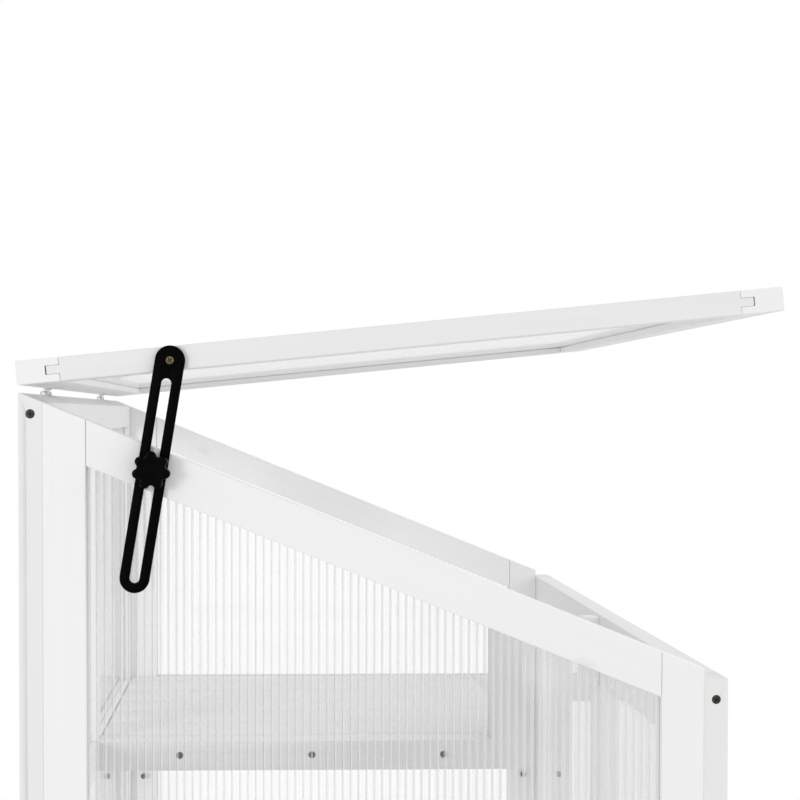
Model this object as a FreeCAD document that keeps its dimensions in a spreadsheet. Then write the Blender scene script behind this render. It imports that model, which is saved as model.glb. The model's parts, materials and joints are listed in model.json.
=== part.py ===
"""Cold frame on legs: a white timber cabinet glazed with twin-wall sheet.

Axes: +X to the right seen from the front, -Y is the front, +Z is up.
Origin: centre of the footprint of the four corner posts, on the ground.
All sizes are millimetres. The lid is modelled held open by its stay.
"""
import FreeCAD, Part
import math
import os
import re

import Sketcher

DIMENSIONS = {
    # cabinet
    "overall_width": 700,
    "overall_depth": 500,
    "rear_height": 1180,
    "roof_slope": 22,
    "timber_width": 30,
    "timber_thickness": 17,
    "edge_ease": 0.6,
    "groove_width": 6.4,
    "groove_depth": 9.8,
    "tongue_thickness": 6,
    "tongue_length": 8.8,
    "joint_gap": 0.3,
    "sheet_thickness": 5.6,
    "sheet_inset": 8,
    "bottom_rail_base": 60,
    "middle_rail_base": 833,
    "groove_stop": 10,
    # doors
    "door_gap": 2,
    "door_knob_height": 560,
    "door_knob_radius": 11,
    "door_knob_neck": 5.5,
    "door_knob_foot": 7.425,
    "door_knob_length": 21,
    "button_height": 640,
    "button_length": 50,
    "button_width": 15,
    "button_thickness": 6,
    "button_standoff": 0.5,
    "button_screw_bite": 14.7,
    "button_screw_play": 0.8,
    "button_head_radius": 4.2,
    "button_head_height": 2,
    # stop block behind the front top rail
    "stop_width": 17,
    "stop_depth": 17,
    "stop_base": 912,
    "stop_height": 64,
    # shelves
    "shelf_top": 863,
    "bearer_height": 27,
    "bearer_reach": 392.5,
    "hanger_width": 27.5,
    "board_width": 58,
    "board_pitch": 59.3,
    "board_thickness": 8,
    "batten_height": 17,
    "batten_width": 24,
    "batten_pitch": 122,
    "batten_first": 157,
    "tie_drop": 18,
    "tie_width": 17,
    "floor_base": 79,
    "floor_board_count": 11,
    "floor_batten_spread": 195,
    # butt hinges
    "knuckle_radius": 2.4,
    "pin_radius": 1.2,
    "pin_clearance": 0.06,
    "leaf_thickness": 1.2,
    "leaf_length": 38,
    "leaf_reach": 15,
    "hinge_offset": 2.6,
    "knuckle_gap": 0.25,
    "plate_clearance": 0.5,
    "lid_hinge_spread": 198,
    "door_hinge_low": 200,
    "door_hinge_high": 838,
    # lid
    "lid_length": 541,
    "lid_lift": 3.8,
    "lid_rise": 5.6,
    "lid_axis_height": 1180.9,
    # stay
    "link_radius": 110.9,
    "stud_angle": 29.8,
    "lid_pivot_angle": 5.48,
    "stay_width": 21,
    "stay_thickness": 2.5,
    "stay_reach": 154,
    "stay_standoff": 1,
    "slot_width": 7,
    "slot_start": 16.2,
    "pivot_hole_radius": 2.6,
    "pivot_screw_radius": 2.5,
    "pivot_head_radius": 5.2,
    "pivot_head_height": 2.4,
    "pivot_screw_bite": 16,
    "pivot_screw_play": 0.4,
    "pivot_collar_radius": 4.2,
    "pivot_collar_play": 0.2,
    "stud_radius": 3,
    "stud_length": 24.5,
    "stud_bite": 12,
    # star knob
    "knob_lobes": 7,
    "knob_outer_radius": 13.5,
    "knob_body_radius": 10.4,
    "knob_lobe_radius": 3.4,
    "knob_thickness": 9,
    "knob_hub_radius": 7,
    "knob_hub_height": 3,
    "knob_bore_radius": 3.06,
    "knob_cap_thickness": 2.5,
    "knob_clearance": 0.35,
    # wood screws
    "screw_radius": 2,
    "screw_length": 34,
    "screw_head_radius": 3.2,
    "screw_hole_radius": 3.3,
    "screw_head_depth": 2.2,
    "screw_recess": 0.6,
    "post_screw_drop": 15,
    "bearer_screw_height": 850,
    "peg_screw_height": 750,
    "peg_screw_proud": 8,
}

doc = FreeCAD.newDocument("cold_frame")
sheet = doc.addObject("Spreadsheet::Sheet", "Sheet")
for row, (alias, number) in enumerate(DIMENSIONS.items(), start=1):
    sheet.set(f"A{row}", alias)
    sheet.set(f"B{row}", str(number))
    sheet.setAlias(f"B{row}", alias)
doc.recompute()

# Sizes worked out from the driving dimensions, as expression text.
HALF_WIDTH = "(overall_width / 2)"
HALF_DEPTH = "(overall_depth / 2)"
INNER_X = f"({HALF_WIDTH} - timber_thickness)"
INNER_Y = f"({HALF_DEPTH} - timber_thickness)"
SIDE_MID_X = f"({HALF_WIDTH} - timber_thickness / 2)"
WALL_MID_Y = f"({HALF_DEPTH} - timber_thickness / 2)"
POST_EDGE_X = f"({HALF_WIDTH} - timber_width)"
STILE_EDGE_Y = f"({INNER_Y} - timber_width)"
FRONT_HEIGHT = "(rear_height - tan(roof_slope) * overall_depth)"
RAIL_DROP = "(timber_width / cos(roof_slope))"
MIDDLE_TOP = "(middle_rail_base + timber_width)"
BOTTOM_TOP = "(bottom_rail_base + timber_width)"
HINGE_Y = f"({HALF_DEPTH} + hinge_offset)"
DOOR_HINGE_X = f"({POST_EDGE_X} - door_gap / 2)"
PIVOT_ANGLE = "(lid_rise + lid_pivot_angle)"
STAY_LEAN = f"((stud_angle - {PIVOT_ANGLE}) / 2)"
LOW_SCREW = "(bottom_rail_base + timber_width / 2)"
REAR_SCREW_HEIGHTS = [
    "(rear_height - post_screw_drop)", "(middle_rail_base + timber_width / 2)", LOW_SCREW,
]
FRONT_SCREW_HEIGHTS = [f"({FRONT_HEIGHT} - post_screw_drop)", LOW_SCREW]

BUILT = []


def bound(text):
    """Expression text in which every alias points into the sheet."""
    return re.sub(r"\b([a-z]+(?:_[a-z]+)+)\b", r"Sheet.\1", str(text))


def value(text):
    """Number that an expression comes to."""
    return float(sheet.evalExpression(bound(text)))


def roof(y):
    """Height of the roof plane at y; it runs through the rear outer top edge."""
    return f"(rear_height - tan(roof_slope) * ({HALF_DEPTH} - ({y})))"


def rectangle(x_low, y_low, x_high, y_high):
    return [(x_low, y_low), (x_high, y_low), (x_high, y_high), (x_low, y_high)]


def bind(item, **expressions):
    """Bind properties to expressions; a double underscore stands for a dot."""
    for name, text in expressions.items():
        item.setExpression(name.replace("__", "."), bound(text))


def place(item, x="0", y="0", z="0", axis=None, angle=None):
    """Bind the placement: a turn about an axis, then a shift."""
    if axis:
        item.Placement = FreeCAD.Placement(FreeCAD.Vector(), FreeCAD.Rotation(FreeCAD.Vector(*axis), 1))
        item.setExpression("Placement.Rotation.Angle", bound(f"{angle} * 1 deg"))
    bind(item, Placement__Base__x=x, Placement__Base__y=y, Placement__Base__z=z)
    return item


def new_body(label):
    body = doc.addObject("PartDesign::Body", label)
    body.Label = label
    BUILT.append(body)
    return body


def new_sketch(body, plane, offset="0"):
    sketch = body.newObject("Sketcher::SketchObject", f"{body.Name}_sketch")
    support = [f for f in body.Origin.OriginFeatures if f.Role == plane][0]
    sketch.AttachmentSupport = (support, "")
    sketch.MapMode = "FlatFace"
    bind(sketch, AttachmentOffset__Base__z=offset)
    return sketch


def fix_point(sketch, index, position, x, y):
    """Tie a point of the geometry to the sketch's origin by two bound distances."""
    for kind, text in (("DistanceX", x), ("DistanceY", y)):
        number = sketch.addConstraint(
            Sketcher.Constraint(kind, -1, 1, index, position, value(text))
        )
        sketch.setExpression(f"Constraints[{number}]", bound(text))


def polygon(sketch, corners):
    """Closed outline through the corners."""
    first = len(sketch.Geometry)
    points = [FreeCAD.Vector(value(x), value(y), 0) for x, y in corners]
    count = len(points)
    for i in range(count):
        sketch.addGeometry(Part.LineSegment(points[i], points[(i + 1) % count]), False)
    for i in range(count):
        following = first + (i + 1) % count
        sketch.addConstraint(Sketcher.Constraint("Coincident", first + i, 2, following, 1))
        fix_point(sketch, first + i, 1, *corners[i])
    return sketch


def circle(sketch, x, y, radius):
    centre = FreeCAD.Vector(value(x), value(y), 0)
    index = sketch.addGeometry(Part.Circle(centre, FreeCAD.Vector(0, 0, 1), value(radius)), False)
    fix_point(sketch, index, 3, x, y)
    number = sketch.addConstraint(Sketcher.Constraint("Radius", index, value(radius)))
    sketch.setExpression(f"Constraints[{number}]", bound(radius))
    return sketch


def link_outline(sketch, y_near, y_far, radius):
    """Two parallel lines closed by half-round ends, along the sketch's second axis."""
    near, far, half = value(y_near), value(y_far), value(radius)
    up, turn = FreeCAD.Vector(0, 0, 1), math.pi
    top = Part.ArcOfCircle(Part.Circle(FreeCAD.Vector(0, near, 0), up, half), 0, turn)
    low = Part.ArcOfCircle(Part.Circle(FreeCAD.Vector(0, far, 0), up, half), turn, 2 * turn)
    left = Part.LineSegment(FreeCAD.Vector(-half, near, 0), FreeCAD.Vector(-half, far, 0))
    right = Part.LineSegment(FreeCAD.Vector(half, far, 0), FreeCAD.Vector(half, near, 0))
    first = len(sketch.Geometry)
    for piece in (top, left, low, right):
        sketch.addGeometry(piece, False)
    ends = ((0, 2, 1, 1), (1, 2, 2, 1), (2, 2, 3, 1), (3, 2, 0, 1))
    for one, one_end, other, other_end in ends:
        sketch.addConstraint(
            Sketcher.Constraint("Tangent", first + one, one_end, first + other, other_end)
        )
    fix_point(sketch, first, 3, "0", y_near)
    fix_point(sketch, first + 2, 3, "0", y_far)
    number = sketch.addConstraint(Sketcher.Constraint("Radius", first, half))
    sketch.setExpression(f"Constraints[{number}]", bound(radius))
    return sketch


def extrude(body, kind, sketch, length, side="Symmetric"):
    """Pad or Pocket of a sketch; a symmetric one is centred on the sketch's plane."""
    feature = body.newObject(kind, f"{body.Name}_{kind.split('::')[1].lower()}")
    feature.Profile = sketch
    feature.SideType = side
    bind(feature, Length=length)
    sketch.Visibility = False
    body.Tip = feature
    return feature


def ease_edges(body, pad, normal):
    """Take the sharp edges off the two faces of a flat member."""
    doc.recompute()
    half = value("timber_thickness") / 2
    names = []
    for i, edge in enumerate(pad.Shape.Edges, start=1):
        heights = [vertex.Point.dot(normal) for vertex in edge.Vertexes]
        if all(abs(abs(height) - half) < 0.01 for height in heights):
            if abs(heights[0] - heights[1]) < 0.01:
                names.append(f"Edge{i}")
    chamfer = body.newObject("PartDesign::Chamfer", f"{body.Name}_ease")
    chamfer.Base = (pad, names)
    bind(chamfer, Size="edge_ease")
    body.Tip = chamfer


def drill(body, plane, offset, centres, radius, depth, reverse=False):
    """Round recesses of one depth, cut in from a face at the offset."""
    for x, y in centres:
        sketch = circle(new_sketch(body, plane, offset), x, y, radius)
        pocket = extrude(body, "PartDesign::Pocket", sketch, depth, "One side")
        pocket.Reversed = reverse


NORMALS = {
    "XY_Plane": FreeCAD.Vector(0, 0, 1),
    "XZ_Plane": FreeCAD.Vector(0, -1, 0),
    "YZ_Plane": FreeCAD.Vector(1, 0, 0),
}


def add_member(body, plane, outline, grooves=(), tongues=()):
    """One stick: a padded outline with eased edges, glazing grooves and end tongues."""
    sketch = polygon(new_sketch(body, plane), outline)
    pad = extrude(body, "PartDesign::Pad", sketch, "timber_thickness")
    ease_edges(body, pad, NORMALS[plane])
    for tongue in tongues:
        sketch = polygon(new_sketch(body, plane), tongue)
        extrude(body, "PartDesign::Pad", sketch, "tongue_thickness")
    for groove in grooves:
        sketch = polygon(new_sketch(body, plane), groove)
        extrude(body, "PartDesign::Pocket", sketch, "groove_width")
    return body


def member(label, plane, outline, grooves=(), tongues=(), **where):
    return place(add_member(new_body(label), plane, outline, grooves, tongues), **where)


def flat_sheet(label, plane, outline, **where):
    """Twin-wall sheet as a plain plate, loose in its grooves."""
    body = new_body(label)
    extrude(body, "PartDesign::Pad", polygon(new_sketch(body, plane), outline), "sheet_thickness")
    return place(body, **where)


def shoulders(low, high):
    """Ends of a rail that is cut a little short of the stiles it fits between."""
    return f"({low} + joint_gap)", f"({high} - joint_gap)"


def end_tongues(low, high, base, top):
    """Tongues past both ends of a rail that fits between low and high."""
    return [
        rectangle(f"{low} - tongue_length", base, f"{low} + 1", top),
        rectangle(f"{high} - 1", base, f"{high} + tongue_length", top),
    ]


def primitive(kind, name, **expressions):
    item = doc.addObject(kind, name)
    bind(item, **expressions)
    return item


def group(label, shapes):
    """Separate solids that share a node."""
    if len(shapes) == 1:
        result = shapes[0]
        result.Label = label
    else:
        result = doc.addObject("Part::Compound", label)
        result.Label = label
        result.Links = shapes
    BUILT.append(result)
    return result


def box(name, x, y, z, length, width, height):
    """Box from its lowest corner and its sizes."""
    item = primitive("Part::Box", name, Length=length, Width=width, Height=height)
    return place(item, x, y, z)


# --- rear wall -----------------------------------------------------------------------

def drill_post(body, sign, heights):
    """Recesses for the screws that go through a corner post's outer edge."""
    centres = [("0", height) for height in heights]
    depth = "screw_head_depth + screw_recess"
    drill(body, "YZ_Plane", f"{sign} * {HALF_WIDTH}", centres, "screw_hole_radius", depth, sign < 0)


def rear_post(label, sign, outer, inner, groove_edge):
    """Corner post; its top is bevelled to the roof plane."""
    body = new_body(label)
    low, high = sorted((outer, inner), key=value)
    groove_low, groove_high = sorted((inner, groove_edge), key=value)
    groove = rectangle(groove_low, "bottom_rail_base", groove_high, "rear_height - groove_stop")
    add_member(body, "XZ_Plane", rectangle(low, "0", high, "rear_height"), [groove])
    bevel_top(body)
    drill_post(body, sign, REAR_SCREW_HEIGHTS)
    return place(body, y=WALL_MID_Y)


def bevel_top(body):
    """Cut the top of a rear wall member to the roof plane, across its thickness."""
    half = "(timber_thickness / 2 + 1)"
    drop = f"(tan(roof_slope) * ({half} + timber_thickness / 2))"
    extra = "tan(roof_slope)"
    corners = [
        (half, f"rear_height + {extra}"),
        (f"-{half}", f"rear_height + {extra}"),
        (f"-{half}", f"rear_height - {drop}"),
    ]
    sketch = polygon(new_sketch(body, "YZ_Plane"), corners)
    extrude(body, "PartDesign::Pocket", sketch, "overall_width * 2")


def grooved_rail(label, low, high, base, below, above, **where):
    """Level rail of a wall, with grooves in its lower and upper edge as asked."""
    top = f"({base} + timber_width)"
    grooves = []
    if below:
        grooves.append(rectangle(low, base, high, f"{base} + groove_depth"))
    if above:
        grooves.append(rectangle(low, f"{top} - groove_depth", high, top))
    tongues = end_tongues(low, high, f"{base} + groove_depth", f"{top} - groove_depth")
    start, end = shoulders(low, high)
    plane = where.pop("plane")
    return member(label, plane, rectangle(start, base, end, top), grooves, tongues, **where)


def build_rear_wall():
    for side, sign in (("left", -1), ("right", 1)):
        outer = f"{sign} * {HALF_WIDTH}"
        inner = f"{sign} * {POST_EDGE_X}"
        groove_edge = f"{sign} * ({POST_EDGE_X} + groove_depth)"
        rear_post(f"rear_{side}_post", sign, outer, inner, groove_edge)

    low, high = f"-{POST_EDGE_X}", POST_EDGE_X
    base = "(rear_height - timber_width)"
    body = new_body("rear_top_rail")
    start, end = shoulders(low, high)
    outline = rectangle(start, base, end, "rear_height")
    groove = rectangle(low, base, high, f"{base} + groove_depth")
    tongues = end_tongues(low, high, f"{base} + groove_depth", "rear_height - groove_stop - 0.5")
    add_member(body, "XZ_Plane", outline, [groove], tongues)
    bevel_top(body)
    place(body, y=WALL_MID_Y)

    rear = {"plane": "XZ_Plane", "y": WALL_MID_Y}
    grooved_rail("rear_middle_rail", low, high, "middle_rail_base", True, True, **rear)
    grooved_rail("rear_bottom_rail", low, high, "bottom_rail_base", False, True, **rear)

    half = "(timber_width / 2)"
    start, end = shoulders(MIDDLE_TOP, base)
    stile = rectangle(f"-{half}", start, half, end)
    stile_grooves = [
        rectangle(f"-{half}", MIDDLE_TOP, f"-{half} + groove_depth", base),
        rectangle(f"{half} - groove_depth", MIDDLE_TOP, half, base),
    ]
    stile_half = f"({half} - groove_depth)"
    stile_tongues = [
        rectangle(f"-{stile_half}", f"{MIDDLE_TOP} - tongue_length", stile_half, f"{MIDDLE_TOP} + 1"),
        rectangle(f"-{stile_half}", f"{base} - 1", stile_half, f"{base} + tongue_length"),
    ]
    member("rear_centre_stile", "XZ_Plane", stile, stile_grooves, stile_tongues, y=WALL_MID_Y)

    pane_base, pane_top = f"{MIDDLE_TOP} - sheet_inset", f"{base} + sheet_inset"
    outer_edge = f"{POST_EDGE_X} + sheet_inset"
    inner_edge = f"{half} - sheet_inset"
    panes = []
    for name, sign in (("left_sheet", -1), ("right_sheet", 1)):
        low_x, high_x = sorted((f"{sign} * ({inner_edge})", f"{sign} * ({outer_edge})"), key=value)
        panes.append(box(
            name, low_x, f"{WALL_MID_Y} - sheet_thickness / 2", pane_base,
            f"{outer_edge} - ({inner_edge})", "sheet_thickness", f"{pane_top} - ({pane_base})",
        ))
    group("rear_upper_sheets", panes)
    outline = rectangle(
        f"-({outer_edge})", f"{BOTTOM_TOP} - sheet_inset", outer_edge, "middle_rail_base + sheet_inset"
    )
    flat_sheet("rear_lower_sheet", "XZ_Plane", outline, y=WALL_MID_Y)


# --- side walls ----------------------------------------------------------------------

def build_side_wall(side, centre_x):
    """Side frame between the corner posts; its top rail follows the roof plane."""
    plane = "YZ_Plane"
    edge = STILE_EDGE_Y
    for end, sign in (("rear", ""), ("front", "-")):
        low, high = sorted((f"{sign}{edge}", f"{sign}{INNER_Y}"), key=value)
        outline = [(low, "0"), (high, "0"), (high, roof(high)), (low, roof(low))]
        mouth = f"{sign}{edge}"
        bottom = f"{sign}({edge} + groove_depth)"
        groove_low, groove_high = sorted((mouth, bottom), key=value)
        top = f"{roof(mouth)} - groove_stop"
        groove = rectangle(groove_low, "bottom_rail_base", groove_high, top)
        member(f"{side}_{end}_stile", plane, outline, [groove], x=centre_x)

    low, high = f"-{edge}", edge
    start, end = shoulders(low, high)
    outline = [
        (start, f"{roof(start)} - {RAIL_DROP}"), (end, f"{roof(end)} - {RAIL_DROP}"),
        (end, roof(end)), (start, roof(start)),
    ]
    lip = f"({RAIL_DROP} - groove_depth / cos(roof_slope))"
    groove = [
        (low, f"{roof(low)} - {RAIL_DROP}"), (high, f"{roof(high)} - {RAIL_DROP}"),
        (high, f"{roof(high)} - {lip}"), (low, f"{roof(low)} - {lip}"),
    ]
    tongues = []
    for shoulder, inside, outside in (
        (low, f"{low} + 1", f"{low} - tongue_length"),
        (high, f"{high} - 1", f"{high} + tongue_length"),
    ):
        left, right = sorted((inside, outside), key=value)
        tongue_base = f"{roof(shoulder)} - groove_stop - 8"
        tongue_top = f"{roof(shoulder)} - groove_stop - 1"
        tongues.append(rectangle(left, tongue_base, right, tongue_top))
    member(f"{side}_top_rail", plane, outline, [groove], tongues, x=centre_x)

    wall = {"plane": plane, "x": centre_x}
    grooved_rail(f"{side}_middle_rail", low, high, "middle_rail_base", True, True, **wall)
    grooved_rail(f"{side}_bottom_rail", low, high, "bottom_rail_base", False, True, **wall)

    low, high = f"-({edge} + sheet_inset)", f"({edge} + sheet_inset)"
    hidden = "((timber_width - sheet_inset) / cos(roof_slope))"
    base = f"{MIDDLE_TOP} - sheet_inset"
    outline = [
        (low, base), (high, base),
        (high, f"{roof(high)} - {hidden}"), (low, f"{roof(low)} - {hidden}"),
    ]
    flat_sheet(f"{side}_upper_sheet", plane, outline, x=centre_x)
    outline = rectangle(low, f"{BOTTOM_TOP} - sheet_inset", high, "middle_rail_base + sheet_inset")
    flat_sheet(f"{side}_lower_sheet", plane, outline, x=centre_x)


# --- front ---------------------------------------------------------------------------

def build_front():
    where = {"y": f"-{WALL_MID_Y}"}
    for side, sign in (("left", -1), ("right", 1)):
        low, high = sorted((f"{sign} * {HALF_WIDTH}", f"{sign} * {POST_EDGE_X}"), key=value)
        outline = rectangle(low, "0", high, FRONT_HEIGHT)
        post = member(f"front_{side}_post", "XZ_Plane", outline, **where)
        drill_post(post, sign, FRONT_SCREW_HEIGHTS)
    low, high = f"-{POST_EDGE_X}", POST_EDGE_X
    outline = rectangle(low, f"{FRONT_HEIGHT} - timber_width", high, FRONT_HEIGHT)
    member("front_top_rail", "XZ_Plane", outline, **where)
    outline = rectangle(low, "bottom_rail_base", high, BOTTOM_TOP)
    member("front_bottom_rail", "XZ_Plane", outline, **where)
    stop = box(
        "door_stop", "-stop_width / 2", f"-{INNER_Y}", "stop_base",
        "stop_width", "stop_depth", "stop_height",
    )
    group("door_stop", [stop])


def build_door(side, sign):
    """Inset door: two stiles, two rails between them and a sheet in their grooves."""
    hinge_edge = f"({POST_EDGE_X} - door_gap)"
    meeting_edge = "(door_gap / 2)"
    base = f"({BOTTOM_TOP} + door_gap)"
    top = f"({FRONT_HEIGHT} - timber_width - door_gap)"
    plane = "XZ_Plane"
    y_mid = f"-{WALL_MID_Y}"

    def across(near, far):
        return sorted((f"{sign} * ({near})", f"{sign} * ({far})"), key=value)

    stiles = []
    for name, outer, inward in (("hinge", hinge_edge, "-"), ("meeting", meeting_edge, "+")):
        low, high = across(outer, f"{outer} {inward} timber_width")
        groove_low, groove_high = across(
            f"{outer} {inward} timber_width", f"{outer} {inward} (timber_width - groove_depth)"
        )
        body = doc.addObject("PartDesign::Body", f"{side}_{name}_stile")
        groove = rectangle(groove_low, f"{base} + 1", groove_high, f"{top} - 1")
        add_member(body, plane, rectangle(low, base, high, top), [groove])
        stiles.append(place(body, y=y_mid))
    group(f"{side}_door_stiles", stiles)

    low, high = across(f"{hinge_edge} - timber_width", f"{meeting_edge} + timber_width")
    rails = []
    for name, rail_base, grooved_above in (
        ("lower", base, True),
        ("upper", f"({top} - timber_width)", False),
    ):
        rail_top = f"({rail_base} + timber_width)"
        body = doc.addObject("PartDesign::Body", f"{side}_{name}_rail")
        groove = rectangle(low, rail_base, high, f"{rail_base} + groove_depth")
        tongue_base, tongue_top = f"{rail_base} + groove_depth + 1", f"{rail_top} - 4"
        if grooved_above:
            groove = rectangle(low, f"{rail_top} - groove_depth", high, rail_top)
            tongue_base, tongue_top = f"{rail_base} + 4", f"{rail_top} - groove_depth - 1"
        tongues = end_tongues(low, high, tongue_base, tongue_top)
        start, end = shoulders(low, high)
        add_member(body, plane, rectangle(start, rail_base, end, rail_top), [groove], tongues)
        rails.append(place(body, y=y_mid))
    group(f"{side}_door_rails", rails)

    inset = "(timber_width - sheet_inset)"
    low, high = across(f"{hinge_edge} - {inset}", f"{meeting_edge} + {inset}")
    outline = rectangle(low, f"{base} + {inset}", high, f"{top} - {inset}")
    flat_sheet(f"{side}_door_sheet", plane, outline, y=y_mid)

    knob_x = f"{sign} * ({meeting_edge} + timber_width / 2)"
    build_door_knob(f"{side}_door_knob", knob_x)


# Levels of a door knob's neck and of its rim's two edges, as shares of its length.
KNOB_LEVELS = (0.285714, 0.571429, 0.761905)


def build_door_knob(label, x):
    """Turned knob: a waisted neck under a domed head, about the door's normal."""
    body = new_body(label)
    sketch = new_sketch(body, "XZ_Plane")
    neck_top, rim_low, rim_high = (f"(door_knob_length * {share})" for share in KNOB_LEVELS)
    polygon(sketch, [
        ("0", "0"), ("door_knob_foot", "0"), ("door_knob_neck", neck_top),
        ("door_knob_radius", rim_low), ("door_knob_radius", rim_high),
        ("door_knob_neck", "door_knob_length"), ("0", "door_knob_length"),
    ])
    turned = body.newObject("PartDesign::Revolution", f"{label}_turned")
    turned.Profile = sketch
    turned.ReferenceAxis = (sketch, ["V_Axis"])
    turned.Angle = 360
    sketch.Visibility = False
    body.Tip = turned
    body.Placement.Rotation = FreeCAD.Rotation(FreeCAD.Vector(1, 0, 0), 90)
    bind(
        body, Placement__Base__x=x, Placement__Base__y=f"-{HALF_DEPTH}",
        Placement__Base__z="door_knob_height",
    )


def build_turn_button():
    """Wooden button that swivels across the meeting stiles; at rest it stands upright."""
    x = "(door_gap / 2 + timber_width / 2)"
    front = f"(-{HALF_DEPTH} - button_standoff)"
    body = new_body("turn_button")
    reach = "(button_length / 2 - button_width / 2)"
    sketch = link_outline(new_sketch(body, "XZ_Plane"), reach, f"-{reach}", "button_width / 2")
    extrude(body, "PartDesign::Pad", sketch, "button_thickness", "One side")
    bore = circle(new_sketch(body, "XZ_Plane"), "0", "0", "screw_radius + pin_clearance")
    extrude(body, "PartDesign::Pocket", bore, "button_thickness * 4")
    place(body, x, front, "button_height")

    length = "(button_screw_bite + button_standoff + button_thickness + button_screw_play)"
    shank = primitive("Part::Cylinder", "button_shank", Radius="screw_radius", Height=length)
    head = primitive(
        "Part::Cylinder", "button_head", Radius="button_head_radius", Height="button_head_height"
    )
    bind(head, Placement__Base__z=length)
    screw = doc.addObject("Part::Fuse", "turn_button_screw")
    screw.Base, screw.Tool = shank, head
    screw.Placement.Rotation = FreeCAD.Rotation(FreeCAD.Vector(1, 0, 0), 90)
    bind(
        screw, Placement__Base__x=x, Placement__Base__z="button_height",
        Placement__Base__y=f"button_screw_bite - {HALF_DEPTH}",
    )
    group("turn_button_screw", [screw])


# --- shelves -------------------------------------------------------------------------

def build_shelves():
    half = "(timber_width / 2)"
    bearer_end = f"({INNER_Y} - bearer_reach)"
    hanger_back = f"({bearer_end} + hanger_width)"
    bearer = new_body("shelf_bearer")
    outline = rectangle(hanger_back, "shelf_top - bearer_height", INNER_Y, "shelf_top")
    extrude(bearer, "PartDesign::Pad", polygon(new_sketch(bearer, "YZ_Plane"), outline), "timber_width")
    centres = [(f"batten_first - {i} * batten_pitch", "bearer_screw_height") for i in range(3)]
    depth = "screw_head_depth + screw_recess"
    drill(bearer, "YZ_Plane", f"-{half}", centres, "screw_hole_radius", depth, True)

    # The hanger reaches up to the sloped tie; its top is cut to the tie's underside.
    tie_low = "((tie_drop + timber_width) / cos(roof_slope))"
    tie_high = "(tie_drop / cos(roof_slope))"
    hanger = new_body("shelf_hanger")
    hanger_base = "(shelf_top - bearer_height)"
    corners = [
        (bearer_end, hanger_base), (hanger_back, hanger_base),
        (hanger_back, f"{roof(hanger_back)} - {tie_low}"),
        (bearer_end, f"{roof(bearer_end)} - {tie_low}"),
    ]
    extrude(hanger, "PartDesign::Pad", polygon(new_sketch(hanger, "YZ_Plane"), corners), "timber_width")

    tie = new_body("centre_tie")
    front, back = f"(stop_depth - {INNER_Y})", INNER_Y
    corners = [
        (front, f"{roof(front)} - {tie_low}"), (back, f"{roof(back)} - {tie_low}"),
        (back, f"{roof(back)} - {tie_high}"), (front, f"{roof(front)} - {tie_high}"),
    ]
    extrude(tie, "PartDesign::Pad", polygon(new_sketch(tie, "YZ_Plane"), corners), "tie_width")

    # Boards of the half shelf lie over the right half, the last one ripped to fit.
    first = f"({half} + 3)"
    room = value(f"{INNER_X} - 2 - {first}")
    count = int(room // value("board_pitch")) + 1
    boards = []
    for i in range(count):
        start = f"{first} + {i} * board_pitch"
        width = "board_width" if i < count - 1 else f"{INNER_X} - 2 - ({start})"
        boards.append(box(
            f"top_board_{i + 1}", start, bearer_end, "shelf_top - board_thickness",
            width, f"{INNER_Y} - 2 - {bearer_end}", "board_thickness",
        ))
    group("top_shelf_boards", boards)
    battens = []
    for i in range(3):
        battens.append(box(
            f"top_batten_{i + 1}", half, f"batten_first - {i} * batten_pitch - batten_width / 2",
            "shelf_top - board_thickness - batten_height",
            f"{INNER_X} - {half}", "batten_width", "batten_height",
        ))
    group("top_shelf_battens", battens)

    # Slatted floor on battens that are screwed to the bottom rails of the side walls.
    count = int(DIMENSIONS["floor_board_count"])
    edge = f"({INNER_X} - 3)"
    boards = []
    for i in range(count):
        step = f"(2 * {edge} - board_width) / (floor_board_count - 1)"
        boards.append(box(
            f"floor_board_{i + 1}", f"-{edge} + {i} * {step}", f"-{INNER_Y} + 2", "floor_base",
            "board_width", f"2 * {INNER_Y} - 4", "board_thickness",
        ))
    group("bottom_shelf_boards", boards)
    battens = []
    for i in range(3):
        battens.append(box(
            f"floor_batten_{i + 1}", f"-{INNER_X}",
            f"{i - 1} * floor_batten_spread - batten_width / 2", "floor_base - batten_height",
            f"2 * {INNER_X}", "batten_width", "batten_height",
        ))
    group("bottom_shelf_battens", battens)


# --- screws --------------------------------------------------------------------------

def wood_screw(name, x, y, z, turn, length="screw_length"):
    """Countersunk screw; turn is the angle about Y that points its head outwards."""
    shank = primitive("Part::Cylinder", f"{name}_shank", Radius="screw_radius", Height=length)
    place(shank, z=f"-({length})")
    head = primitive(
        "Part::Cone", f"{name}_head", Radius1="screw_radius", Radius2="screw_head_radius",
        Height="screw_head_depth",
    )
    place(head, z="-screw_head_depth")
    screw = doc.addObject("Part::Fuse", name)
    screw.Base, screw.Tool = shank, head
    screw.Placement.Rotation = FreeCAD.Rotation(FreeCAD.Vector(0, 1, 0), turn)
    bind(screw, Placement__Base__x=x, Placement__Base__y=y, Placement__Base__z=z)
    return screw


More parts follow.
